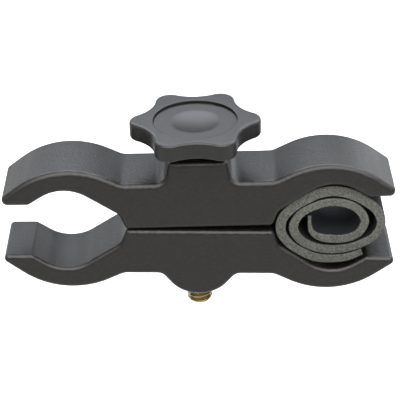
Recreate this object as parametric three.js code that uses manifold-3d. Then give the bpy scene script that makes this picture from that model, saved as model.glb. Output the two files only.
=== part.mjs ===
// Twin tube clamp: two mirror-image jaws closed by one star-knob screw, with a
// rolled rubber packing strip kept in one of its two tube openings.
// Millimetres, +Z up. X runs along the jaws, Y through their depth. The origin is
// where the screw's axis passes the upper jaw's parting face, mid-way up the clamp.
import * as THREE from 'three';
import { mergeVertices } from 'three/addons/utils/BufferGeometryUtils.js';
import Module from 'manifold-3d';

// --- Driving dimensions -----------------------------------------------------
const JAW_DEPTH = 17.6;
const JAW_CHAMFER = 0.7;
const PARTING_GAP = 0.8;          // between the jaws, on the screw's axis
const SCREW_LEAN = 2;             // degrees the screw and upper jaw lean at rest
const JAW_SHIFT = 0.35;           // upper jaw off the screw's axis, within its bore
const FIT_GAP = 0.3;              // left between pieces that touch

const SCREW_DIAMETER = 6.35;      // 1/4 inch, 20 threads to the inch
const SCREW_END_DEPTH = 24.7;     // screw end below the lower jaw's parting face
const SCREW_END_CHAMFER = 0.8;
const HEAD_ACROSS_FLATS = 11.1;
const HEAD_HEIGHT = 3.2;

const INSERT_DIAMETER = 9.4;
const INSERT_BORE = 7.4;
const INSERT_LENGTH = 8;
const INSERT_DEPTH = 8.9;         // insert's top below the parting face

const JAW_BORE = 8;               // clearance hole through each jaw
const BLOCK_HEIGHT = 18.1;        // upper jaw's centre block, above its parting face
const BOSS_HEIGHT = 18.2;         // lower jaw's centre boss, below its parting face

const WASHER_DIAMETER = 13.4;
const WASHER_BORE = 7.2;
const WASHER_THICKNESS = 0.8;

const KNOB_RADIUS = 15.8;
const KNOB_LOBES = 6;
const KNOB_LOBE_RADIUS = 3.6;
const KNOB_WAIST_RADIUS = 12.7;   // at the hollow between two lobes
const KNOB_THICKNESS = 4.4;
const KNOB_CHAMFER = 0.5;
const KNOB_HUB_RADIUS = 7.6;
const KNOB_HUB_HEIGHT = 1.5;
const KNOB_RECESS_RADIUS = 10.1;
const KNOB_RECESS_DEPTH = 2;

const CAP_THICKNESS = 1.2;
const CAP_DISH_RADIUS = 5.8;
const CAP_DISH_DEPTH = 0.75;

const STRIP_WIDTH = 17;
const STRIP_CENTRE = [31.8, 1];   // X and Z of the roll's middle
const STRIP_STEPS = 130;

const ARC_STEP = 11 * Math.PI / 180;
const ROUND_SIDES = 48;

// --- Derived places ---------------------------------------------------------
const LOWER_PARTING_Z = -PARTING_GAP;
const PIVOT_DEPTH = INSERT_DEPTH + INSERT_LENGTH / 2;
const PIVOT_Z = LOWER_PARTING_Z - PIVOT_DEPTH;
// Heights along the leaning screw, from the pivot inside the threaded insert.
const UPPER_PARTING = PIVOT_DEPTH + PARTING_GAP;
const SCREW_END = PIVOT_DEPTH - SCREW_END_DEPTH;
const WASHER_BOTTOM = UPPER_PARTING + BLOCK_HEIGHT + FIT_GAP;
const HUB_BOTTOM = WASHER_BOTTOM + WASHER_THICKNESS + FIT_GAP;
const KNOB_BOTTOM = HUB_BOTTOM + KNOB_HUB_HEIGHT;
const KNOB_TOP = KNOB_BOTTOM + KNOB_THICKNESS;
const RECESS_FLOOR = KNOB_TOP - KNOB_RECESS_DEPTH;
const CAP_BOTTOM = RECESS_FLOOR + FIT_GAP;
const HEAD_TOP = RECESS_FLOOR;
const HEAD_BOTTOM = HEAD_TOP - HEAD_HEIGHT;

// --- Outlines ---------------------------------------------------------------
// Each corner is [x, height from the parting face, fillet radius]. They run from
// the parting face's end round the opening, the tip and the outer arch.
const ARM_CORNERS = [
  [17.9, 0, 0.8],
  [19.3, 3.9, 3.5],
  [32.4, 12.7, 9.7],
  [41, 7.2, 1.6],
  [47.6, 7.3, 0.8],
  [47.6, 9, 0.9],
  [33.5, 19.7, 20.2],
  [18.4, 12.3, 4],
];
const BLOCK_CORNERS = [
  [7.95, 12.3, 3],
  [6.9, BLOCK_HEIGHT, 0.8],
];
const BOSS_CORNERS = [
  [9.15, 12.3, 2.5],
  [4.25, BOSS_HEIGHT, 8.9],
];

// The rolled strip's middle line, from its outer end to its inner end: x, z, thickness.
const STRIP_LINE = [
  [8, -7.72, 1.77], [4.47, -9.18, 2.14], [0.68, -9.63, 2.24], [-3.13, -9.33, 2.36],
  [-6.66, -7.89, 2.28], [-9.78, -5.68, 2.31], [-11.95, -2.59, 2.5], [-11.68, 1.15, 2.65],
  [-9.28, 4.08, 2.69], [-6.14, 6.27, 2.76], [-2.7, 7.92, 2.8], [1.08, 8.39, 2.8],
  [4.81, 7.6, 2.8], [8.2, 5.84, 2.7], [11.11, 3.37, 2.48], [12.3, -0.16, 2.2],
  [10.71, -3.54, 2.15], [7.5, -5.59, 2.18], [3.87, -6.81, 2.28], [0.07, -7.13, 2.3],
  [-3.7, -6.51, 2.3], [-7.04, -4.68, 2.34], [-9, -1.52, 2.35], [-7.71, 1.95, 2.15],
  [-4.58, 4.12, 2.13], [-0.97, 5.35, 2.15], [2.84, 5.29, 2.16], [6.32, 3.77, 2.2],
  [8.29, 0.64, 2.21], [6.84, -2.72, 2.17], [3.35, -4.17, 2.28], [-0.47, -4.23, 2.3],
  [-2.8, -3.68, 2.01], [-4.4, -2.54, 1.49], [-5.05, -0.69, 1.09], [-5.14, 1.9, 0.9],
];

function mirrored(corners) {
  const left = corners.map(([x, y, radius]) => [-x, y, radius]).reverse();
  return [...corners, ...left];
}

// Points of one filleted corner, from its first tangent point to its last.
function filletPoints(before, corner, after) {
  const at = new THREE.Vector2(corner[0], corner[1]);
  const back = new THREE.Vector2(before[0], before[1]).sub(at).normalize();
  const ahead = new THREE.Vector2(after[0], after[1]).sub(at).normalize();
  const halfAngle = Math.acos(back.dot(ahead)) / 2;
  const radius = corner[2];
  const toTangent = radius / Math.tan(halfAngle);
  const bisector = back.clone().add(ahead).normalize();
  const centre = at.clone().addScaledVector(bisector, radius / Math.sin(halfAngle));
  const start = at.clone().addScaledVector(back, toTangent).sub(centre);
  const turn = start.cross(ahead) > 0 ? Math.PI - 2 * halfAngle : 2 * halfAngle - Math.PI;
  const steps = Math.max(2, Math.ceil(Math.abs(turn) / ARC_STEP));
  const points = [];
  for (let step = 0; step <= steps; step += 1) {
    const origin = new THREE.Vector2();
    points.push(start.clone().rotateAround(origin, turn * step / steps).add(centre));
  }
  return points;
}

function filletedShape(corners) {
  const count = corners.length;
  const points = corners.flatMap((corner, index) => filletPoints(
    corners[(index + count - 1) % count],
    corner,
    corners[(index + 1) % count],
  ));
  return new THREE.Shape(points);
}

// Lobes are joined by hollows that are tangent to them on both sides.
function starShape() {
  const half = Math.PI / KNOB_LOBES;
  const lobeCentre = KNOB_RADIUS - KNOB_LOBE_RADIUS;
  const along = lobeCentre * Math.cos(half) - KNOB_WAIST_RADIUS;
  const across = lobeCentre * Math.sin(half);
  const hollowRadius = (along ** 2 + across ** 2 - KNOB_LOBE_RADIUS ** 2)
    / (2 * (KNOB_LOBE_RADIUS + along));
  const hollowCentre = KNOB_WAIST_RADIUS + hollowRadius;
  const reach = Math.atan2(across, hollowCentre - lobeCentre * Math.cos(half));
  const lobeReach = reach + half;
  const points = [];
  const addArc = (distance, direction, radius, from, to) => {
    const steps = Math.ceil(Math.abs(to - from) / ARC_STEP);
    for (let step = 0; step < steps; step += 1) {
      const angle = from + (to - from) * step / steps;
      points.push(new THREE.Vector2(
        distance * Math.cos(direction) + radius * Math.cos(angle),
        distance * Math.sin(direction) + radius * Math.sin(angle),
      ));
    }
  };
  for (let lobe = 0; lobe < KNOB_LOBES; lobe += 1) {
    const direction = 2 * half * lobe;
    const hollow = direction + half;
    addArc(lobeCentre, direction, KNOB_LOBE_RADIUS, direction - lobeReach, direction + lobeReach);
    addArc(hollowCentre, hollow, hollowRadius, hollow + Math.PI + reach, hollow + Math.PI - reach);
  }
  return new THREE.Shape(points);
}

function stripShape() {
  const knots = STRIP_LINE.map(([x, z, thickness]) => new THREE.Vector3(x, z, thickness));
  const line = new THREE.CatmullRomCurve3(knots, false, 'catmullrom', 0.5);
  const outer = [];
  const inner = [];
  for (let step = 0; step <= STRIP_STEPS; step += 1) {
    const point = line.getPointAt(step / STRIP_STEPS);
    const tangent = line.getTangentAt(step / STRIP_STEPS);
    const middle = new THREE.Vector2(point.x, point.y);
    const normal = new THREE.Vector2(-tangent.y, tangent.x).setLength(point.z / 2);
    outer.push(middle.clone().add(normal));
    inner.push(middle.clone().sub(normal));
  }
  return new THREE.Shape([...outer, ...inner.reverse()]);
}

// --- Solids -----------------------------------------------------------------
// A slab of the outline, centred on Y, with its outline's y as the height Z.
function slab(shape, depth, chamfer) {
  const geometry = new THREE.ExtrudeGeometry(shape, {
    depth: depth - 2 * chamfer,
    bevelEnabled: chamfer > 0,
    bevelThickness: chamfer,
    bevelSize: chamfer,
    bevelOffset: -chamfer,
    bevelSegments: 1,
  });
  return geometry.translate(0, 0, chamfer - depth / 2).rotateX(Math.PI / 2);
}

// A plate of the outline, flat on the plane of the given height.
function plate(shape, bottom, thickness, chamfer) {
  const geometry = new THREE.ExtrudeGeometry(shape, {
    depth: thickness - 2 * chamfer,
    bevelThickness: chamfer,
    bevelSize: chamfer,
    bevelOffset: -chamfer,
    bevelSegments: 1,
  });
  return geometry.translate(0, 0, bottom + chamfer);
}

function upright(radius, bottom, top, sides = ROUND_SIDES) {
  const geometry = new THREE.CylinderGeometry(radius, radius, top - bottom, sides);
  return geometry.rotateX(Math.PI / 2).translate(0, 0, (bottom + top) / 2);
}

function turned(profile) {
  const points = profile.map(([radius, height]) => new THREE.Vector2(radius, height));
  return new THREE.LatheGeometry(points, ROUND_SIDES).rotateX(Math.PI / 2);
}

function ring(outerRadius, innerRadius, bottom, top) {
  return turned([
    [innerRadius, bottom],
    [outerRadius, bottom],
    [outerRadius, top],
    [innerRadius, top],
    [innerRadius, bottom],
  ]);
}

const wasm = await Module();
wasm.setup();

function toSolid(geometry) {
  const bare = geometry.clone();
  bare.deleteAttribute('normal');
  bare.deleteAttribute('uv');
  const merged = mergeVertices(bare, 1e-4);
  return new wasm.Manifold(new wasm.Mesh({
    numProp: 3,
    vertProperties: new Float32Array(merged.attributes.position.array),
    triVerts: new Uint32Array(merged.index.array),
  }));
}

function toGeometry(solid) {
  const mesh = solid.getMesh();
  const geometry = new THREE.BufferGeometry();
  geometry.setAttribute('position', new THREE.BufferAttribute(mesh.vertProperties, 3));
  geometry.setIndex(new THREE.BufferAttribute(mesh.triVerts, 1));
  geometry.computeVertexNormals();
  return geometry;
}

function cut(geometry, ...tools) {
  const solid = tools.reduce((left, tool) => left.subtract(toSolid(tool)), toSolid(geometry));
  return toGeometry(solid);
}

function join(first, second) {
  return toGeometry(toSolid(first).add(toSolid(second)));
}

// --- Materials --------------------------------------------------------------
function finish(color, roughness, metalness = 0) {
  return new THREE.MeshStandardMaterial({ color, roughness, metalness });
}

const mouldedNylon = finish(0x262524, 0.45);
const knobNylon = finish(0x2b2b2d, 0.42);
const packingRubber = finish(0x56564e, 0.85);
const yellowZinc = finish(0xc9a04a, 0.3, 1);
const brass = finish(0xb8944f, 0.35, 1);
const washerSteel = finish(0x8c8f94, 0.35, 1);

function piece(name, geometry, material) {
  const mesh = new THREE.Mesh(geometry, material);
  mesh.name = name;
  return mesh;
}

// --- Pieces -----------------------------------------------------------------
// The lower jaw is the fixed body. Its outline hangs below the parting face.
function lowerJaw() {
  const body = slab(filletedShape(mirrored([...ARM_CORNERS, ...BOSS_CORNERS])), JAW_DEPTH, JAW_CHAMFER);
  body.rotateX(Math.PI);
  const seatRadius = INSERT_DIAMETER / 2 + FIT_GAP;
  const seat = upright(seatRadius, -BOSS_HEIGHT - 1, FIT_GAP - INSERT_DEPTH);
  const bore = upright(JAW_BORE / 2, -BOSS_HEIGHT - 1, 1);
  const mesh = piece('lower_jaw', cut(body, seat, bore), mouldedNylon);
  mesh.position.z = LOWER_PARTING_Z;
  return mesh;
}

function threadInsert() {
  const top = -INSERT_DEPTH;
  const sleeve = ring(INSERT_DIAMETER / 2, INSERT_BORE / 2, top - INSERT_LENGTH, top);
  const mesh = piece('thread_insert', sleeve, brass);
  mesh.position.z = LOWER_PARTING_Z;
  return mesh;
}

function upperJaw() {
  const body = slab(filletedShape(mirrored([...ARM_CORNERS, ...BLOCK_CORNERS])), JAW_DEPTH, JAW_CHAMFER);
  const bore = upright(JAW_BORE / 2, -1, BLOCK_HEIGHT + 1);
  const mesh = piece('upper_jaw', cut(body, bore), mouldedNylon);
  mesh.position.set(JAW_SHIFT, 0, UPPER_PARTING);
  return mesh;
}

function knobWasher() {
  const top = WASHER_BOTTOM + WASHER_THICKNESS;
  const washer = ring(WASHER_DIAMETER / 2, WASHER_BORE / 2, WASHER_BOTTOM, top);
  return piece('knob_washer', washer, washerSteel);
}

function knobBody() {
  const star = plate(starShape(), KNOB_BOTTOM, KNOB_THICKNESS, KNOB_CHAMFER);
  const hub = upright(KNOB_HUB_RADIUS, HUB_BOTTOM, KNOB_BOTTOM + 1);
  const recess = upright(KNOB_RECESS_RADIUS, RECESS_FLOOR, KNOB_TOP + 1);
  const pocketRadius = (HEAD_ACROSS_FLATS / 2 + FIT_GAP) / Math.cos(Math.PI / 6);
  const pocket = upright(pocketRadius, HEAD_BOTTOM - FIT_GAP, KNOB_TOP + 1, 6);
  const bore = upright(SCREW_DIAMETER / 2 + FIT_GAP, HUB_BOTTOM - 1, KNOB_TOP + 1);
  return piece('knob_body', cut(join(star, hub), recess, pocket, bore), knobNylon);
}

function knobCap() {
  const discTop = CAP_BOTTOM + CAP_THICKNESS;
  const radius = KNOB_RECESS_RADIUS - FIT_GAP;
  const sphereRadius = (CAP_DISH_RADIUS ** 2 + CAP_DISH_DEPTH ** 2) / (2 * CAP_DISH_DEPTH);
  const sphereCentre = discTop - CAP_DISH_DEPTH + sphereRadius;
  const dishSteps = 6;
  const dish = Array.from({ length: dishSteps + 1 }, (_, step) => {
    const distance = CAP_DISH_RADIUS * (1 - step / dishSteps);
    return [distance, sphereCentre - Math.sqrt(sphereRadius ** 2 - distance ** 2)];
  });
  const profile = [[0, CAP_BOTTOM], [radius, CAP_BOTTOM], [radius, discTop], ...dish];
  return piece('knob_cap', turned(profile), knobNylon);
}

function clampScrew() {
  const radius = SCREW_DIAMETER / 2;
  const shank = turned([
    [0, SCREW_END],
    [radius - SCREW_END_CHAMFER, SCREW_END],
    [radius, SCREW_END + SCREW_END_CHAMFER],
    [radius, HEAD_BOTTOM + 1],
    [0, HEAD_BOTTOM + 1],
  ]);
  const cornerRadius = HEAD_ACROSS_FLATS / 2 / Math.cos(Math.PI / 6);
  const head = upright(cornerRadius, HEAD_BOTTOM, HEAD_TOP, 6);
  return piece('clamp_screw', join(shank, head), yellowZinc);
}

function rubberStrip() {
  const mesh = piece('rubber_strip', slab(stripShape(), STRIP_WIDTH, 0), packingRubber);
  mesh.position.set(STRIP_CENTRE[0], 0, STRIP_CENTRE[1]);
  return mesh;
}

// The screw leans in its insert, and carries the upper jaw and the knob with it.
const leaning = new THREE.Group();
leaning.position.z = PIVOT_Z;
leaning.rotation.y = -THREE.MathUtils.degToRad(SCREW_LEAN);
leaning.add(upperJaw(), knobWasher(), knobBody(), knobCap(), clampScrew());

const clamp = new THREE.Group();
clamp.add(lowerJaw(), threadInsert(), rubberStrip(), leaning);

export default clamp;
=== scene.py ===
"""Twin tube clamp: two moulded jaws, a star knob, a threaded screw and a rolled rubber strip.

Sizes are in millimetres until a mesh is made, and every finished mesh is in metres in the
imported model's frame: X along the jaws, Y through their depth, Z up.
"""
import math

import bmesh
import bpy
import numpy as np
from mathutils import Matrix, Vector, noise

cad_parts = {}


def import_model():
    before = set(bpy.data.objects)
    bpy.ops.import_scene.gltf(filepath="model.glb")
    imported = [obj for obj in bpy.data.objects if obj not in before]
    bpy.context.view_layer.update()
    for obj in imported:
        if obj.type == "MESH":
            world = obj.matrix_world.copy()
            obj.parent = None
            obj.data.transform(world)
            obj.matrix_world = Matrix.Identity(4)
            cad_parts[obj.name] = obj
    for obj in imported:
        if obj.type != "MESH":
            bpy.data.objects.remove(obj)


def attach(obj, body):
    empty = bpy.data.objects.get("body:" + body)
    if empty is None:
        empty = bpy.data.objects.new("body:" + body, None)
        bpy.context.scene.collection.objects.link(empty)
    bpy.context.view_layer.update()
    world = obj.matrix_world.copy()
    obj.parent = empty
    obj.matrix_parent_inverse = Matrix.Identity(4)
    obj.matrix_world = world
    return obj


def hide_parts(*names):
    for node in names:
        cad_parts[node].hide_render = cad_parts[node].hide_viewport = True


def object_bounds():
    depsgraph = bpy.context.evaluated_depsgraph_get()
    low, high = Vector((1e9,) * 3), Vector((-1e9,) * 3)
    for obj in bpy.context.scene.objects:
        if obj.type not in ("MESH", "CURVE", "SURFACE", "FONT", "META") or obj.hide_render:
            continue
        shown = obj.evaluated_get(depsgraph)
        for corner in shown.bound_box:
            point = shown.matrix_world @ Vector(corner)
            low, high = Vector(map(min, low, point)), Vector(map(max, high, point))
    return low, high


MM = 0.001

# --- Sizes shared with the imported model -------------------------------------
JAW_DEPTH = 17.6
PARTING_GAP = 0.8
SCREW_LEAN = 2.0                  # degrees
JAW_SHIFT = 0.35
JAW_BORE = 8.0
BLOCK_HEIGHT = 18.1
BOSS_HEIGHT = 18.2
INSERT_DIAMETER = 9.4
INSERT_BORE = 7.4
INSERT_LENGTH = 8.0
INSERT_DEPTH = 8.9
FIT_GAP = 0.3
WASHER_DIAMETER = 13.4
WASHER_BORE = 7.2
WASHER_THICKNESS = 0.8
SCREW_DIAMETER = 6.35
SCREW_PITCH = 1.27
SCREW_END_DEPTH = 24.7
HEAD_ACROSS_FLATS = 11.1
HEAD_HEIGHT = 3.2
KNOB_RADIUS = 15.8
KNOB_LOBES = 6
KNOB_LOBE_RADIUS = 3.6
KNOB_WAIST_RADIUS = 12.7
KNOB_THICKNESS = 4.4
KNOB_HUB_RADIUS = 7.6
KNOB_HUB_HEIGHT = 1.5
KNOB_RECESS_RADIUS = 10.1
KNOB_RECESS_DEPTH = 2.0
CAP_DISH_RADIUS = 5.8
STRIP_WIDTH = 17.0
STRIP_CENTRE = (31.8, 1.0)
STRIP_LOWEST = -9.8

# --- Finer sizes that only the visible surfaces have ------------------------
UPPER_EDGE = 1.32                 # radius along the jaws' front and back edges
LOWER_EDGE = 1.08
EDGE_SPARE = 0.03                 # least by which a corner's radius exceeds its rounded edge
KNOB_EDGE = 0.7
KNOB_LIP = 0.22                   # rounding of the recess's rim
KNOB_HUB_EDGE = 0.4
KNOB_HUB_FILLET = 0.6
CAP_CLEARANCE = 0.01
CAP_THICKNESS = 0.98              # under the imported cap's, so that the recess's wall shows
CAP_DISH_DEPTH = 0.65
CAP_DISH_LIP = 0.35               # how far the dish's rim is eased over
STRIP_EDGE = 0.35
STRIP_SLOPE = 0.09                # how far the upper turns sit back, per unit of height
THREAD_DEPTH = 0.61 * SCREW_PITCH
THREAD_CREST = 0.06               # half the crest's width, as a share of the pitch
THREAD_ROOT = 0.43
SCREW_END_CHAMFER = 0.75
ARC_STEP = math.radians(4)

# --- Derived places, as heights along the leaning screw ---------------------
PIVOT_DEPTH = INSERT_DEPTH + INSERT_LENGTH / 2
PIVOT_Z = -PARTING_GAP - PIVOT_DEPTH
UPPER_PARTING = PIVOT_DEPTH + PARTING_GAP
SCREW_END = PIVOT_DEPTH - SCREW_END_DEPTH
WASHER_BOTTOM = UPPER_PARTING + BLOCK_HEIGHT + FIT_GAP
HUB_BOTTOM = WASHER_BOTTOM + WASHER_THICKNESS + FIT_GAP
KNOB_BOTTOM = HUB_BOTTOM + KNOB_HUB_HEIGHT
KNOB_TOP = KNOB_BOTTOM + KNOB_THICKNESS
RECESS_FLOOR = KNOB_TOP - KNOB_RECESS_DEPTH
CAP_BOTTOM = RECESS_FLOOR + FIT_GAP
HEAD_TOP = RECESS_FLOOR
HEAD_BOTTOM = HEAD_TOP - HEAD_HEIGHT

LEAN = Matrix.Translation((0, 0, PIVOT_Z)) @ Matrix.Rotation(math.radians(-SCREW_LEAN), 4, "Y")
UPPER = LEAN @ Matrix.Translation((JAW_SHIFT, 0, UPPER_PARTING))
LOWER = Matrix.Translation((0, 0, -PARTING_GAP))

# Corners of one arm: x, height from the parting face, fillet radius.
ARM_CORNERS = [
    (17.9, 0, 0.8),
    (19.3, 3.9, 3.5),
    (32.4, 12.7, 9.7),
    (41, 7.2, 1.6),
    (50.0, 7.33, 1.14),
    (33.5, 19.7, 20.2),
    (18.4, 12.3, 4),
]
BLOCK_CORNERS = [(7.95, 12.3, 3), (6.9, BLOCK_HEIGHT, 0.8)]
BOSS_CORNERS = [(9.15, 12.3, 2.5), (4.25, BOSS_HEIGHT, 8.9)]

# The rolled strip's middle line, from its outer end to its inner end: x, z, thickness.
STRIP_LINE = [
    (8, -7.72, 1.77), (4.47, -9.18, 2.14), (0.68, -9.63, 2.24), (-3.13, -9.33, 2.36),
    (-6.66, -7.89, 2.28), (-9.78, -5.68, 2.31), (-11.95, -2.59, 2.5), (-11.68, 1.15, 2.65),
    (-9.28, 4.08, 2.69), (-6.14, 6.27, 2.76), (-2.7, 7.92, 2.8), (1.08, 8.39, 2.8),
    (4.81, 7.6, 2.8), (8.2, 5.84, 2.7), (11.11, 3.37, 2.48), (12.3, -0.16, 2.2),
    (10.71, -3.54, 2.15), (7.5, -5.59, 2.18), (3.87, -6.81, 2.28), (0.07, -7.13, 2.3),
    (-3.7, -6.51, 2.3), (-7.04, -4.68, 2.34), (-9, -1.52, 2.35), (-7.71, 1.95, 2.15),
    (-4.58, 4.12, 2.13), (-0.97, 5.35, 2.15), (2.84, 5.29, 2.16), (6.32, 3.77, 2.2),
    (8.29, 0.64, 2.21), (6.84, -2.72, 2.17), (3.35, -4.17, 2.28), (-0.47, -4.23, 2.3),
    (-2.8, -3.68, 2.01), (-4.4, -2.54, 1.49), (-5.05, -0.69, 1.09), (-5.14, 1.9, 0.9),
]

# --- Camera, in millimetres and radians -------------------------------------
CAMERA_LENS = 142.01
CAMERA_DISTANCE = 388.56
CAMERA_ELEVATION = 0.5146
CAMERA_YAW = -0.0145
CAMERA_ROLL = 0.0134
CAMERA_TARGET = Vector((0.0773, 0, 3.03))

FLOOR_DROP = 60.0                 # floor below the clamp, which a tube would hold up


# --- Outlines ---------------------------------------------------------------
def mirrored(corners):
    return corners + [(-x, z, radius) for x, z, radius in reversed(corners)]


def fillet(before, corner, after):
    """Points of one filleted corner, each with its outward normal."""
    at = np.array(corner[:2], float)
    back = np.array(before[:2], float) - at
    back /= np.linalg.norm(back)
    ahead = np.array(after[:2], float) - at
    ahead /= np.linalg.norm(ahead)
    half = math.acos(float(back @ ahead)) / 2
    radius = corner[2]
    bisector = (back + ahead) / np.linalg.norm(back + ahead)
    centre = at + bisector * radius / math.sin(half)
    start = at + back * radius / math.tan(half) - centre
    convex = back[0] * ahead[1] - back[1] * ahead[0] < 0
    turn = (math.pi - 2 * half) * (1 if convex else -1)
    steps = max(3, math.ceil(abs(turn) / ARC_STEP))
    points = []
    for step in range(steps + 1):
        angle = turn * step / steps
        cosine, sine = math.cos(angle), math.sin(angle)
        arm = np.array((start[0] * cosine - start[1] * sine, start[0] * sine + start[1] * cosine))
        normal = arm / radius if convex else -arm / radius
        points.append((centre + arm, normal))
    return points


def outline(corners):
    """A filleted outline that turns anticlockwise, as points and outward normals."""
    count = len(corners)
    samples = []
    for index, corner in enumerate(corners):
        samples += fillet(corners[index - 1], corner, corners[(index + 1) % count])
    return np.array([p for p, _ in samples]), np.array([n for _, n in samples])


def star_outline():
    """Lobes joined by hollows that are tangent to them, as points and outward normals."""
    half = math.pi / KNOB_LOBES
    lobe_centre = KNOB_RADIUS - KNOB_LOBE_RADIUS
    along = lobe_centre * math.cos(half) - KNOB_WAIST_RADIUS
    across = lobe_centre * math.sin(half)
    hollow_radius = (along**2 + across**2 - KNOB_LOBE_RADIUS**2) / (2 * (KNOB_LOBE_RADIUS + along))
    hollow_centre = KNOB_WAIST_RADIUS + hollow_radius
    reach = math.atan2(across, hollow_centre - lobe_centre * math.cos(half))
    points, normals = [], []

    def add_arc(distance, direction, radius, start, end, sign):
        steps = math.ceil(abs(end - start) / (ARC_STEP / 1.5))
        middle = distance * np.array((math.cos(direction), math.sin(direction)))
        for step in range(steps):
            angle = start + (end - start) * step / steps
            arm = np.array((math.cos(angle), math.sin(angle)))
            points.append(middle + radius * arm)
            normals.append(sign * arm)

    for lobe in range(KNOB_LOBES):
        direction = 2 * half * lobe
        hollow = direction + half
        turn = reach + half
        add_arc(lobe_centre, direction, KNOB_LOBE_RADIUS, direction - turn, direction + turn, 1)
        start, end = hollow + math.pi + reach, hollow + math.pi - reach
        add_arc(hollow_centre, hollow, hollow_radius, start, end, -1)
    return np.array(points), np.array(normals)


def catmull_rom(points, steps):
    """A uniform Catmull-Rom curve through the points, in even steps of its plane length."""
    points = np.array(points, float)
    fine = []
    last = len(points) - 1
    for index in range(last):
        p0 = points[max(index - 1, 0)]
        p1, p2 = points[index], points[index + 1]
        p3 = points[min(index + 2, last)]
        v0, v1 = (p2 - p0) / 2, (p3 - p1) / 2
        cubic = 2 * p1 - 2 * p2 + v0 + v1
        square = 3 * p2 - 3 * p1 - 2 * v0 - v1
        for t in np.linspace(0, 1, 24, endpoint=False):
            fine.append(cubic * t**3 + square * t**2 + v0 * t + p1)
    fine.append(points[-1])
    fine = np.array(fine)
    steps_taken = np.linalg.norm(np.diff(fine[:, :2], axis=0), axis=1)
    lengths = np.concatenate(([0], np.cumsum(steps_taken)))
    wanted = np.linspace(0, lengths[-1], steps + 1)
    return np.column_stack([np.interp(wanted, lengths, column) for column in fine.T])


# --- Mesh building ----------------------------------------------------------
def mesh_from(name, vertices, faces, transform):
    """An object whose vertices, given in millimetres, are placed and scaled to metres."""
    mesh = bpy.data.meshes.new(name)
    placed = [transform @ Vector(v) * MM for v in vertices]
    mesh.from_pydata(placed, [], faces)
    mesh.validate()
    obj = bpy.data.objects.new(name, mesh)
    bpy.context.scene.collection.objects.link(obj)
    return obj


def ring_faces(ring_count, size, capped=True):
    faces = []
    for ring in range(ring_count - 1):
        low, high = ring * size, (ring + 1) * size
        for i in range(size):
            j = (i + 1) % size
            faces.append((low + i, low + j, high + j, high + i))
    if capped:
        faces.append(tuple(range(size - 1, -1, -1)))
        faces.append(tuple(range((ring_count - 1) * size, ring_count * size)))
    return faces


def outward(obj):
    build = bmesh.new()
    build.from_mesh(obj.data)
    bmesh.ops.remove_doubles(build, verts=build.verts, dist=1e-7)
    bmesh.ops.recalc_face_normals(build, faces=build.faces)
    build.to_mesh(obj.data)
    build.free()


def rounded_rings(points, normals, depth, edge, steps=7):
    """Rings of (outline point, y) for a slab with rounded front and back edges."""
    profile = [(edge + EDGE_SPARE, 0.0)]
    for step in range(steps + 1):
        angle = math.pi / 2 * step / steps
        profile.append((edge * (1 - math.sin(angle)), edge * (1 - math.cos(angle))))
    profile += [(inset, depth - height) for inset, height in reversed(profile)]
    return [(points - normals * inset, height - depth / 2) for inset, height in profile]


def slab(name, corners, depth, edge, transform, flip=1):
    """An outline through the part's depth. No corner is tighter than the rounded edge."""
    points, normals = outline([(x, z, max(radius, edge + EDGE_SPARE)) for x, z, radius in corners])
    vertices = []
    rings = rounded_rings(points, normals, depth, edge)
    for ring, y in rings:
        vertices += [(x, y, flip * z) for x, z in ring]
    obj = mesh_from(name, vertices, ring_faces(len(rings), len(points)), transform)
    outward(obj)
    return obj


def turned(name, profile, transform, sides=96, closed=False):
    """A body of revolution about Z. A closed profile makes a ring, an open one is capped."""
    vertices = []
    for radius, height in profile:
        for side in range(sides):
            angle = 2 * math.pi * side / sides
            vertices.append((radius * math.cos(angle), radius * math.sin(angle), height))
    faces = ring_faces(len(profile), sides, capped=not closed)
    if closed:
        last = (len(profile) - 1) * sides
        for i in range(sides):
            j = (i + 1) % sides
            faces.append((last + i, last + j, j, i))
    obj = mesh_from(name, vertices, faces, transform)
    outward(obj)
    return obj


def rounded_ring_profile(inner, outer, bottom, top, edge, steps=4):
    """The closed section of a ring whose four corners are rounded."""
    corners = [
        (inner + edge, bottom + edge, math.pi),
        (outer - edge, bottom + edge, 1.5 * math.pi),
        (outer - edge, top - edge, 0),
        (inner + edge, top - edge, 0.5 * math.pi),
    ]
    section = []
    for radius, height, start in corners:
        for step in range(steps + 1):
            angle = start + math.pi / 2 * step / steps
            section.append((radius + edge * math.cos(angle), height + edge * math.sin(angle)))
    return section


def subtract(obj, *cutters):
    for cutter in cutters:
        modifier = obj.modifiers.new("cut", "BOOLEAN")
        modifier.operation = "DIFFERENCE"
        modifier.solver = "EXACT"
        modifier.object = cutter
        graph = bpy.context.evaluated_depsgraph_get()
        mesh = bpy.data.meshes.new_from_object(obj.evaluated_get(graph))
        obj.modifiers.clear()
        obj.data = mesh
        bpy.data.objects.remove(cutter)


def shade(obj, angle=32):
    """Smooth shading, broken at edges sharper than the angle, with flat faces kept flat."""
    mesh = obj.data
    mesh.shade_smooth()
    mesh.set_sharp_from_angle(angle=math.radians(angle))
    weighted = obj.modifiers.new("weighted normals", "WEIGHTED_NORMAL")
    weighted.keep_sharp = True
    weighted.weight = 90


def fit_to_body(obj, body, node, material):
    obj.data.materials.clear()
    obj.data.materials.append(material)
    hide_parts(node)
    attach(obj, body)


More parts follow.
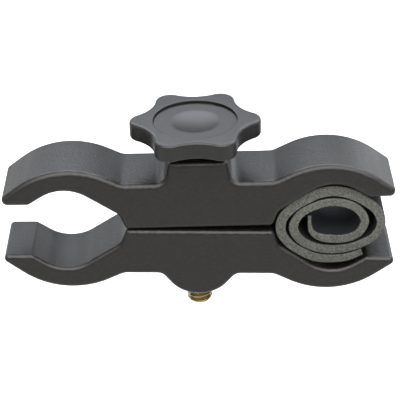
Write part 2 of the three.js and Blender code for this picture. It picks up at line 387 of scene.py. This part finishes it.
# --- Materials --------------------------------------------------------------
class Shader:
    """A Principled material and short ways to wire procedural nodes into it."""

    def __init__(self, name, **sockets):
        self.material = bpy.data.materials.new(name)
        self.material.use_nodes = True
        self.tree = self.material.node_tree
        self.tree.nodes.clear()
        self.output = self.tree.nodes.new("ShaderNodeOutputMaterial")
        self.surface = self.tree.nodes.new("ShaderNodeBsdfPrincipled")
        self.tree.links.new(self.surface.outputs[0], self.output.inputs[0])
        for socket, value in sockets.items():
            self.surface.inputs[socket.replace("_", " ")].default_value = value
        places = self.tree.nodes.new("ShaderNodeTexCoord")
        self.coordinates = places.outputs["Object"]
        self.facing = places.outputs["Normal"]

    def stretched(self, scale):
        """Object coordinates scaled per axis, in cells per metre."""
        mapping = self.tree.nodes.new("ShaderNodeMapping")
        mapping.inputs["Scale"].default_value = scale
        self.tree.links.new(self.coordinates, mapping.inputs["Vector"])
        return mapping.outputs[0]

    def noise(self, scale, detail=3.0, roughness=0.5, distortion=0.0):
        node = self.tree.nodes.new("ShaderNodeTexNoise")
        node.inputs["Scale"].default_value = 1.0
        node.inputs["Detail"].default_value = detail
        node.inputs["Roughness"].default_value = roughness
        node.inputs["Distortion"].default_value = distortion
        self.tree.links.new(self.stretched(scale), node.inputs["Vector"])
        return node.outputs["Fac"]

    def ramp(self, value, *stops):
        """A colour ramp. Each stop is a position and a colour or grey level."""
        node = self.tree.nodes.new("ShaderNodeValToRGB")
        elements = node.color_ramp.elements
        while len(elements) < len(stops):
            elements.new(0.5)
        for element, (position, level) in zip(elements, stops):
            element.position = position
            colour = (level,) * 3 if isinstance(level, (int, float)) else level
            element.color = (*colour, 1)
        self.tree.links.new(value, node.inputs[0])
        return node.outputs[0]

    def blend(self, first, second, kind="MIX", factor=1.0):
        node = self.tree.nodes.new("ShaderNodeMix")
        node.data_type = "RGBA"
        node.blend_type = kind
        if isinstance(factor, float):
            node.inputs[0].default_value = factor
        else:
            self.tree.links.new(factor, node.inputs[0])
        self.tree.links.new(first, node.inputs[6])
        self.tree.links.new(second, node.inputs[7])
        return node.outputs[2]

    def up_along_z(self, low, high):
        """0 to 1 with height, between two heights in metres."""
        split = self.tree.nodes.new("ShaderNodeSeparateXYZ")
        self.tree.links.new(self.coordinates, split.inputs[0])
        height = self.tree.nodes.new("ShaderNodeMapRange")
        height.inputs["From Min"].default_value = low
        height.inputs["From Max"].default_value = high
        self.tree.links.new(split.outputs["Z"], height.inputs["Value"])
        return height.outputs[0]

    def faces_along_y(self, low, high):
        """0 to 1 as the surface turns to face along Y, either way."""
        split = self.tree.nodes.new("ShaderNodeSeparateXYZ")
        self.tree.links.new(self.facing, split.inputs[0])
        size = self.tree.nodes.new("ShaderNodeMath")
        size.operation = "ABSOLUTE"
        self.tree.links.new(split.outputs["Y"], size.inputs[0])
        return self.ramp(size.outputs[0], (low, 0.0), (high, 1.0))

    def colour(self, value):
        self.tree.links.new(value, self.surface.inputs["Base Color"])

    def roughness(self, value):
        self.tree.links.new(value, self.surface.inputs["Roughness"])

    def bump(self, *layers):
        """Each layer is a height output, its depth in metres and its strength."""
        below = None
        for height, depth, strength in layers:
            node = self.tree.nodes.new("ShaderNodeBump")
            node.inputs["Strength"].default_value = strength
            node.inputs["Distance"].default_value = depth
            self.tree.links.new(height, node.inputs["Height"])
            if below is not None:
                self.tree.links.new(below, node.inputs["Normal"])
            below = node.outputs[0]
        self.tree.links.new(below, self.surface.inputs["Normal"])


def jaw_nylon():
    """Black glass-filled nylon: warm mottled skin, fine spark grain, drawn flow streaks."""
    shader = Shader("moulded_nylon", Specular_IOR_Level=0.26)
    mottle = shader.noise((1500, 1500, 1500), 5.0, 0.7)
    base = shader.ramp(mottle, (0.36, (0.0002, 0.0002, 0.0002)), (0.64, (0.0042, 0.0036, 0.0027)))
    shader.colour(base)
    streaks = shader.noise((420, 26, 420), 3.0, 0.55)
    grain = shader.noise((1400, 1400, 1400), 3.0, 0.6)
    gloss = shader.blend(
        shader.ramp(streaks, (0.3, 0.35), (0.72, 0.45)),
        shader.ramp(grain, (0.3, 0.33), (0.7, 0.50)),
        factor=0.45,
    )
    shader.roughness(gloss)
    shader.bump((shader.noise((60, 14, 60), 2.0), 0.0005, 0.10), (grain, 0.00016, 0.6))
    return shader.material


def knob_nylon():
    """The knob's black nylon, a little greyer and finer grained than the jaws'."""
    shader = Shader("knob_nylon", Specular_IOR_Level=0.30)
    mottle = shader.noise((1300, 1300, 1300), 5.0, 0.6)
    shader.colour(shader.ramp(mottle, (0.36, (0.0002, 0.0002, 0.0002)), (0.64, (0.0030, 0.0030, 0.0026))))
    grain = shader.noise((3200, 3200, 3200), 3.0, 0.6)
    shader.roughness(shader.ramp(grain, (0.3, 0.37), (0.7, 0.50)))
    shader.bump((grain, 0.00005, 0.30))
    return shader.material


def packing_rubber():
    """Packing rubber: sandy grey-brown cut edges with saw streaks, painted darker towards the bottom as
    painted shade, and broad faces painted near black as painted shade for the roll's hole and gaps.
    """
    shader = Shader("packing_rubber", Specular_IOR_Level=0.12)
    speck = shader.noise((2400, 2400, 2400), 5.0, 0.75)
    cloud = shader.noise((260, 120, 260), 3.0, 0.6)
    light = shader.ramp(speck, (0.36, (0.020, 0.021, 0.018)), (0.64, (0.094, 0.097, 0.086)))
    dark = shader.ramp(speck, (0.36, (0.014, 0.015, 0.013)), (0.64, (0.070, 0.072, 0.064)))
    clouded = shader.blend(light, dark, factor=cloud)
    # Painted shade: the cut edges are painted darker towards the bottom of the roll, down to 0.72 of
    # their colour.
    painted_shade_by_height = shader.ramp(shader.up_along_z(-0.006, 0.009), (0.0, 0.72), (1.0, 1.0))
    cut = shader.blend(clouded, painted_shade_by_height, "MULTIPLY")
    # Painted shade: the broad faces are painted near black, standing in for the shade inside the roll's
    # hole and between its turns.
    painted_shade_faces = shader.ramp(speck, (0.3, (0.002, 0.0024, 0.003)), (0.7, (0.004, 0.005, 0.006)))
    shader.colour(shader.blend(painted_shade_faces, cut, factor=shader.faces_along_y(0.35, 0.75)))
    shader.roughness(shader.ramp(speck, (0.3, 0.78), (0.7, 0.95)))
    shader.bump((cloud, 0.0004, 0.3), (speck, 0.00016, 0.8))
    return shader.material


def yellow_zinc():
    """Dull yellow zinc plate: olive gold with faint clouds and turning marks."""
    shader = Shader("yellow_zinc", Metallic=1.0)
    cloud = shader.noise((350, 350, 350), 3.0, 0.6)
    shader.colour(shader.ramp(
        cloud,
        (0.3, (0.21, 0.18, 0.10)),
        (0.55, (0.27, 0.225, 0.12)),
        (0.75, (0.22, 0.21, 0.14)),
    ))
    marks = shader.noise((300, 300, 9000), 2.0, 0.6)
    shader.roughness(shader.ramp(marks, (0.3, 0.20), (0.7, 0.38)))
    shader.bump((marks, 0.00002, 0.35))
    return shader.material


def turned_brass():
    shader = Shader("brass", Metallic=1.0)
    cloud = shader.noise((500, 500, 500), 3.0, 0.6)
    shader.colour(shader.ramp(cloud, (0.3, (0.60, 0.42, 0.16)), (0.7, (0.74, 0.54, 0.24))))
    marks = shader.noise((200, 200, 12000), 2.0, 0.6)
    shader.roughness(shader.ramp(marks, (0.3, 0.25), (0.7, 0.42)))
    shader.bump((marks, 0.00002, 0.4))
    return shader.material


def washer_steel():
    """Bright zinc washer with fine rolled scratches."""
    shader = Shader("washer_steel", Metallic=1.0)
    cloud = shader.noise((600, 600, 600), 4.0, 0.6)
    shader.colour(shader.ramp(cloud, (0.3, (0.30, 0.31, 0.33)), (0.7, (0.42, 0.43, 0.45))))
    scratches = shader.noise((5000, 250, 400), 2.0, 0.6)
    shader.roughness(shader.ramp(scratches, (0.3, 0.26), (0.7, 0.45)))
    shader.bump((scratches, 0.00002, 0.3))
    return shader.material


def floor_paper():
    shader = Shader("floor_paper", Roughness=0.9, Specular_IOR_Level=0.1)
    fibre = shader.noise((220, 220, 220), 4.0, 0.6)
    shader.colour(shader.ramp(fibre, (0.3, 0.40), (0.7, 0.43)))
    return shader.material


# --- Pieces -----------------------------------------------------------------
def lower_jaw(material):
    """The jaw with the screw's bore and, from below, the insert's seat."""
    corners = mirrored(ARM_CORNERS + BOSS_CORNERS)
    jaw = slab("lower_jaw_moulding", corners, JAW_DEPTH, LOWER_EDGE, LOWER, flip=-1)
    bore, seat = JAW_BORE / 2, INSERT_DIAMETER / 2 + FIT_GAP
    cutter = turned(
        "cutter",
        [
            (seat + 1.1, -BOSS_HEIGHT - 0.6),
            (seat, -BOSS_HEIGHT + 0.5),
            (seat, FIT_GAP - INSERT_DEPTH),
            (bore, FIT_GAP - INSERT_DEPTH),
            (bore, -0.4),
            (bore + 0.9, 0.5),
        ],
        LOWER,
    )
    subtract(jaw, cutter)
    shade(jaw)
    fit_to_body(jaw, "fixed_jaw", "lower_jaw", material)


def upper_jaw(material):
    """The jaw with the taller block and the screw's clearance bore."""
    corners = mirrored(ARM_CORNERS + BLOCK_CORNERS)
    jaw = slab("upper_jaw_moulding", corners, JAW_DEPTH, UPPER_EDGE, UPPER)
    bore = JAW_BORE / 2
    cutter = turned(
        "cutter",
        [
            (bore + 0.9, -0.5),
            (bore, 0.4),
            (bore, BLOCK_HEIGHT - 0.4),
            (bore + 0.9, BLOCK_HEIGHT + 0.5),
        ],
        UPPER,
    )
    subtract(jaw, cutter)
    shade(jaw)
    fit_to_body(jaw, "moving_jaw", "upper_jaw", material)


def thread_radius(share):
    """Radius of the 60 degree thread at a share of its pitch, crest at 0 and root at 0.5."""
    away = abs((share + 0.5) % 1 - 0.5)
    flank = min(max((away - THREAD_CREST) / (THREAD_ROOT - THREAD_CREST), 0), 1)
    return SCREW_DIAMETER / 2 - THREAD_DEPTH * flank


def thread_insert(material):
    """A plain sleeve with rounded ends."""
    top = -INSERT_DEPTH
    outer, inner = INSERT_DIAMETER / 2, INSERT_BORE / 2
    section = rounded_ring_profile(inner, outer, top - INSERT_LENGTH, top, 0.25)
    insert = turned("thread_insert_sleeve", section, LOWER, closed=True)
    shade(insert)
    fit_to_body(insert, "fixed_jaw", "thread_insert", material)


def knob_washer(material):
    inner, outer = WASHER_BORE / 2, WASHER_DIAMETER / 2
    section = rounded_ring_profile(inner, outer, WASHER_BOTTOM, WASHER_BOTTOM + WASHER_THICKNESS, 0.12)
    washer = turned("knob_washer_disc", section, LEAN, closed=True)
    shade(washer)
    fit_to_body(washer, "washer_seat", "knob_washer", material)


def quarter(start, end, centre, radius, steps=5):
    """Points of an arc, as (radius, height) pairs."""
    points = []
    for step in range(steps + 1):
        angle = math.radians(start + (end - start) * step / steps)
        points.append((centre[0] + radius * math.cos(angle), centre[1] + radius * math.sin(angle)))
    return points


def star_rings(points, normals):
    """The star from its underside to its top face: (outline, height) pairs."""
    rings = []
    insets = [KNOB_EDGE + 0.25]
    heights = [0.0]
    for step in range(6):
        angle = math.pi / 2 * step / 5
        insets.append(KNOB_EDGE * (1 - math.sin(angle)))
        heights.append(KNOB_EDGE * (1 - math.cos(angle)))
    for inset, height in zip(insets, heights):
        rings.append((points - normals * inset, KNOB_BOTTOM + height))
    for inset, height in zip(reversed(insets), reversed(heights)):
        rings.append((points - normals * inset, KNOB_TOP - height))
    return rings


def knob_body(material):
    """The star with its hub, its recess and a pocket for the screw's head."""
    points, normals = star_outline()
    size = len(points)
    angles = np.arctan2(points[:, 1], points[:, 0])
    circle = np.column_stack((np.cos(angles), np.sin(angles)))
    edge, fillet_radius = KNOB_HUB_EDGE, KNOB_HUB_FILLET
    hub = quarter(270, 360, (KNOB_HUB_RADIUS - edge, HUB_BOTTOM + edge), edge)
    hub += quarter(180, 90, (KNOB_HUB_RADIUS + fillet_radius, KNOB_BOTTOM - fillet_radius), fillet_radius)
    rings = [(circle * radius, height) for radius, height in [(KNOB_HUB_RADIUS - 1, HUB_BOTTOM), *hub]]
    rings += star_rings(points, normals)
    lip = quarter(90, 180, (KNOB_RECESS_RADIUS + KNOB_LIP, KNOB_TOP - KNOB_LIP), KNOB_LIP)
    rings += [(circle * (KNOB_RECESS_RADIUS + KNOB_LIP + 0.25), KNOB_TOP)]
    rings += [(circle * radius, height) for radius, height in lip]
    rings += [(circle * KNOB_RECESS_RADIUS, RECESS_FLOOR)]
    vertices = [(x, y, height) for ring, height in rings for x, y in ring]
    knob = mesh_from("knob_star", vertices, ring_faces(len(rings), size), LEAN)
    outward(knob)
    pocket_radius = (HEAD_ACROSS_FLATS / 2 + FIT_GAP) / math.cos(math.pi / 6)
    pocket_walls = [(pocket_radius, HEAD_BOTTOM - FIT_GAP), (pocket_radius, KNOB_TOP + 1)]
    pocket = turned("pocket", pocket_walls, LEAN, sides=6)
    hole = SCREW_DIAMETER / 2 + FIT_GAP
    bore = turned("bore", [(hole, HUB_BOTTOM - 1), (hole, KNOB_TOP)], LEAN)
    subtract(knob, pocket, bore)
    shade(knob)
    fit_to_body(knob, "knob", "knob_body", material)


def knob_cap(material):
    """A disc with a shallow round dish in its top, whose rim is eased over."""
    rim = KNOB_RECESS_RADIUS - CAP_CLEARANCE
    top = CAP_BOTTOM + CAP_THICKNESS
    profile = [(rim - 0.5, CAP_BOTTOM), (rim, CAP_BOTTOM + 0.1), (rim, top - 0.1), (rim - 0.1, top)]
    for distance in np.linspace(CAP_DISH_RADIUS + 2 * CAP_DISH_LIP, 0.02, 30):
        fall = CAP_DISH_DEPTH * (1 - (distance / CAP_DISH_RADIUS)**2)
        # A smooth maximum of the flat top and the bowl.
        eased = (fall + math.hypot(fall, CAP_DISH_LIP * 0.2)) / 2
        profile.append((distance, top - eased))
    cap = turned("knob_cap_disc", profile, LEAN, sides=128)
    shade(cap)
    fit_to_body(cap, "knob", "knob_cap", material)


def threaded_shank(top, sides=72):
    """Vertices and faces of a helical thread, trimmed flat at both ends."""
    steps = (0, THREAD_CREST, 0.24, THREAD_ROOT, 0.5, 1 - THREAD_ROOT, 0.76, 1 - THREAD_CREST)
    turns = math.ceil((top - SCREW_END) / SCREW_PITCH) + 1
    rises = [turn + step for turn in range(turns) for step in steps]
    vertices = []
    for rise in rises:
        for side in range(sides):
            turn = side / sides
            height = SCREW_END + SCREW_PITCH * (rise - 1 + turn)
            height = min(max(height, SCREW_END), top)
            share = (height - SCREW_END) / SCREW_PITCH - turn
            chamfer = SCREW_DIAMETER / 2 - SCREW_END_CHAMFER + height - SCREW_END
            radius = min(thread_radius(share), chamfer)
            angle = 2 * math.pi * turn
            vertices.append((radius * math.cos(angle), radius * math.sin(angle), height))
    faces = []
    for row in range(len(rises) - 1):
        for side in range(sides - 1):
            at = row * sides + side
            faces.append((at, at + 1, at + sides + 1, at + sides))
    # The last column meets the first one a whole turn higher.
    for row in range(len(rises) - 1 - len(steps)):
        last = row * sides + sides - 1
        first = (row + len(steps)) * sides
        faces.append((last, first, first + sides, last + sides))
    return vertices, faces


def close_ends(obj):
    build = bmesh.new()
    build.from_mesh(obj.data)
    bmesh.ops.remove_doubles(build, verts=build.verts, dist=1e-7)
    bmesh.ops.dissolve_degenerate(build, dist=1e-8, edges=build.edges)
    bmesh.ops.holes_fill(build, edges=build.edges, sides=0)
    bmesh.ops.recalc_face_normals(build, faces=build.faces)
    build.to_mesh(obj.data)
    build.free()


def clamp_screw(material):
    vertices, faces = threaded_shank(HEAD_BOTTOM)
    shank = mesh_from("clamp_screw_shank", vertices, faces, LEAN)
    close_ends(shank)
    shade(shank, angle=24)
    radius = HEAD_ACROSS_FLATS / 2 / math.cos(math.pi / 6)
    profile = [
        (radius - 0.5, HEAD_BOTTOM + 0.02),
        (radius, HEAD_BOTTOM + 0.25),
        (radius, HEAD_TOP - 0.3),
        (radius - 0.6, HEAD_TOP),
    ]
    head = turned("clamp_screw_head", profile, LEAN, sides=6)
    shade(head)
    for obj in (shank, head):
        fit_to_body(obj, "knob", "clamp_screw", material)


def strip_section(thickness, steps=3):
    """The strip's cut section: (across its thickness, across its width), edges rounded."""
    half_t, half_w = thickness / 2, STRIP_WIDTH / 2
    edge = min(STRIP_EDGE, 0.4 * thickness)
    corners = [(1, 1, 0), (-1, 1, 90), (-1, -1, 180), (1, -1, 270)]
    section = []
    for sign_t, sign_w, start in corners:
        for step in range(steps + 1):
            angle = math.radians(start + 90 * step / steps)
            section.append((
                sign_t * (half_t - edge) + edge * math.cos(angle),
                sign_w * (half_w - edge) + edge * math.sin(angle),
            ))
    return section


def strip_edge_shift(x, z, width):
    """How far a cut edge sits in or out: the roll's lean, a slow wave and the cut's tears."""
    wave = 0.10 * noise.noise(Vector((x * 0.35, width * 0.05, z * 0.35)))
    tears = 0.05 * noise.noise(Vector((x * 1.9, width, z * 1.9)))
    lean = STRIP_SLOPE * (z - STRIP_LOWEST) if width < 0 else 0
    return lean + math.copysign(1, width) * (wave + tears - 0.06)


def rubber_strip(material):
    """The strip's section swept along its roll, with uneven cut edges."""
    line = catmull_rom(STRIP_LINE, 300)
    tangents = np.gradient(line[:, :2], axis=0)
    tangents /= np.linalg.norm(tangents, axis=1)[:, None]
    vertices = []
    for (along_x, along_z, thickness), tangent in zip(line, tangents):
        middle = np.array((along_x, along_z)) + STRIP_CENTRE
        normal = np.array((-tangent[1], tangent[0]))
        for across, width in strip_section(thickness):
            x, z = middle + normal * across
            vertices.append((x, width + strip_edge_shift(x, z, width), z))
    size = len(vertices) // len(line)
    strip = mesh_from("rubber_strip_roll", vertices, ring_faces(len(line), size), Matrix.Identity(4))
    outward(strip)
    shade(strip, angle=50)
    fit_to_body(strip, "strip_roll", "rubber_strip", material)


# --- Stage ------------------------------------------------------------------
def camera():
    yaw, elevation = CAMERA_YAW, CAMERA_ELEVATION
    back = Vector((
        math.sin(yaw) * math.cos(elevation),
        -math.cos(yaw) * math.cos(elevation),
        math.sin(elevation),
    ))
    level = Vector((math.cos(yaw), math.sin(yaw), 0))
    upright = back.cross(level)
    right = math.cos(CAMERA_ROLL) * level + math.sin(CAMERA_ROLL) * upright
    up = -math.sin(CAMERA_ROLL) * level + math.cos(CAMERA_ROLL) * upright
    data = bpy.data.cameras.new("camera")
    data.lens = CAMERA_LENS
    data.sensor_width = 36
    data.clip_start = 0.01
    obj = bpy.data.objects.new("camera", data)
    bpy.context.scene.collection.objects.link(obj)
    rotation = Matrix((right, up, back)).transposed().to_4x4()
    place = (CAMERA_TARGET + back * CAMERA_DISTANCE) * MM
    obj.matrix_world = Matrix.Translation(place) @ rotation
    bpy.context.scene.camera = obj


def area_light(name, place, aim, size, power, colour):
    """A rectangular softbox. Place, aim and size are in metres, power in watts."""
    data = bpy.data.lights.new(name, "AREA")
    data.shape = "RECTANGLE"
    data.size, data.size_y = size
    data.energy = power
    data.color = colour
    obj = bpy.data.objects.new(name, data)
    obj.location = place
    toward = Vector(aim) - Vector(place)
    obj.rotation_euler = toward.to_track_quat("-Z", "Y").to_euler()
    bpy.context.scene.collection.objects.link(obj)


def softbox(name, azimuth, elevation, distance, size, radiance, colour=(1, 1, 1)):
    """A softbox aimed at the clamp, at degrees round from +X and up, set by its brightness."""
    round_, up = math.radians(azimuth), math.radians(elevation)
    place = (
        distance * math.cos(up) * math.cos(round_),
        distance * math.cos(up) * math.sin(round_),
        distance * math.sin(up),
    )
    power = radiance * math.pi * size[0] * size[1]
    area_light(name, place, (0, 0, 0), size, power, colour)


def lights():
    softbox("rear_box", 76, 54, 0.34, (0.80, 0.20), 9.5, (0.88, 0.93, 1.0))
    softbox("rear_left_strip", 128, 6, 0.60, (0.34, 0.13), 2.8, (0.95, 0.97, 1.0))
    softbox("rear_right_strip", 54, 10, 0.60, (0.40, 0.19), 3.4, (0.93, 0.96, 1.0))
    softbox("front_box", -90, 55, 1.0, (2.0, 1.2), 9.5, (1.0, 0.98, 0.95))
    softbox("left_box", 180, 20, 1.3, (0.9, 0.8), 1.6)
    softbox("right_box", 0, 20, 1.3, (0.9, 0.8), 2.2)


def world():
    """Even dim light from all round, so that no side is black."""
    made = bpy.data.worlds.new("studio")
    made.use_nodes = True
    background = made.node_tree.nodes["Background"]
    background.inputs["Color"].default_value = (0.9, 0.93, 1.0, 1)
    background.inputs["Strength"].default_value = 0.08
    bpy.context.scene.world = made


def floor(lowest):
    """A wide sheet of pale paper, a little below the clamp."""
    size = 3.0
    height = lowest / MM - FLOOR_DROP
    corners = [(-1, -1), (1, -1), (1, 1), (-1, 1)]
    vertices = [(x * size / MM, y * size / MM, height) for x, y in corners]
    paper = mesh_from("floor", vertices, [(0, 1, 2, 3)], Matrix.Identity(4))
    paper.data.materials.append(floor_paper())


def as_lists(bounds):
    return [[float(value) for value in corner] for corner in bounds]


def main():
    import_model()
    cad_box = as_lists(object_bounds())
    camera()
    nylon, knob = jaw_nylon(), knob_nylon()
    lower_jaw(nylon)
    upper_jaw(nylon)
    thread_insert(turned_brass())
    knob_washer(washer_steel())
    knob_body(knob)
    knob_cap(knob)
    clamp_screw(yellow_zinc())
    rubber_strip(packing_rubber())
    lights()
    world()
    floor(cad_box[0][2])
    bpy.context.scene.view_settings.view_transform = "Standard"


main()
